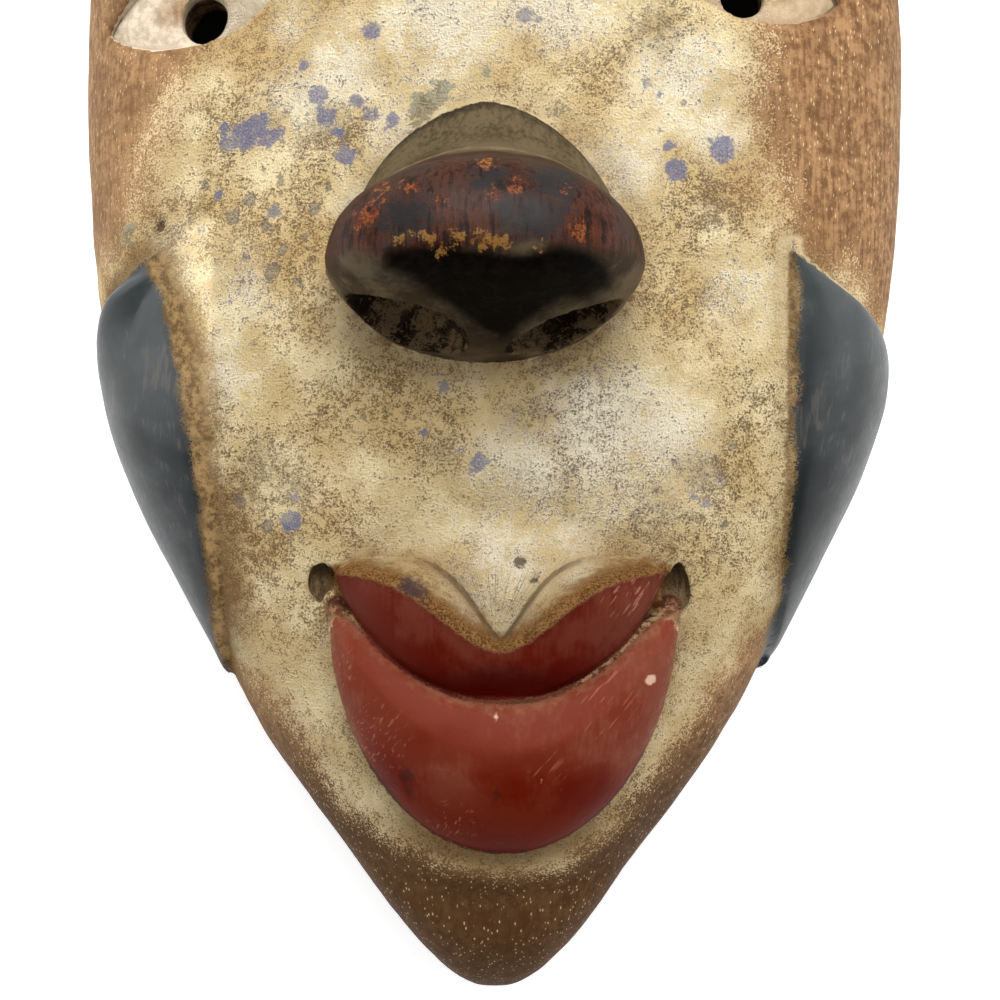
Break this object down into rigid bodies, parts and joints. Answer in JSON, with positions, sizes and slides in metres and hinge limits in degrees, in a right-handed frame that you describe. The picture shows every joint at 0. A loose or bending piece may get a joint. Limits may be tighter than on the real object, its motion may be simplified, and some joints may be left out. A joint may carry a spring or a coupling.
{
  "type": "tribal mask",
  "caption": "Carved wooden face mask, hollow behind, with a bulbous nose, full lips, bored eyes and leaf-shaped side pads, lying face up on its flat rim.",
  "frame": {"origin": "middle of the flat rim plane that the mask lies on", "axes": "+Z out of the face, +Y from the chin to the crown, +X to the right as one looks at the face"},
  "size_m": [0.188, 0.326, 0.1],
  "materials": {
    "painted_wood": "matte"
  },
  "bodies": {
    "root": {"mask": "painted_wood"}
  },
  "joints": []
}
